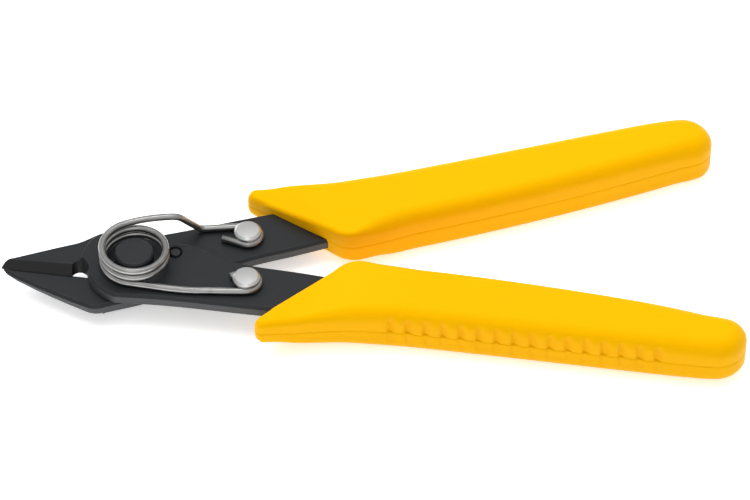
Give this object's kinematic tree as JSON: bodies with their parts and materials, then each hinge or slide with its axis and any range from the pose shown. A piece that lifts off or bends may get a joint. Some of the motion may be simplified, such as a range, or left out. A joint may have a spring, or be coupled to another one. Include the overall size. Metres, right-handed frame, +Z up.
{
  "type": "diagonal cutting pliers",
  "caption": "Small flush-cutting diagonal pliers: two riveted black steel levers, coil return spring on button pegs and yellow slip-on grips.",
  "frame": {"origin": "under the middle of the closed tool, on the plane the two grips rest on", "axes": "+X from the jaws to the handles, +Y towards the handle of the lower lever, +Z up along the pivot to the spring side"},
  "size_m": [0.1302, 0.0592, 0.0118],
  "materials": {
    "black_steel": "black oxide, satin",
    "black_rivet": "black oxide, satin",
    "bright_peg": "bright turned steel",
    "spring_wire": "bright drawn wire",
    "yellow_grip": "smooth satin PVC"
  },
  "bodies": {
    "lower_arm": {"lever_lower": "black_steel", "pivot_rivet": "black_rivet", "stop_pin": "black_rivet", "peg_lower": "bright_peg", "torsion_spring": "spring_wire", "grip_lower": "yellow_grip"},
    "upper_arm": {"lever_upper": "black_steel", "peg_upper": "bright_peg", "grip_upper": "yellow_grip"}
  },
  "joints": [
    {"name": "pivot", "type": "hinge", "parent": "lower_arm", "child": "upper_arm", "pos_m": [-0.04129, 0, 0.0048], "axis": [0, 0, -1], "range_deg": [0, 7.5], "stiffness_Nm_per_rad": 0.23, "springref_deg": 34.38, "deforming": ["torsion_spring"]}
  ]
}
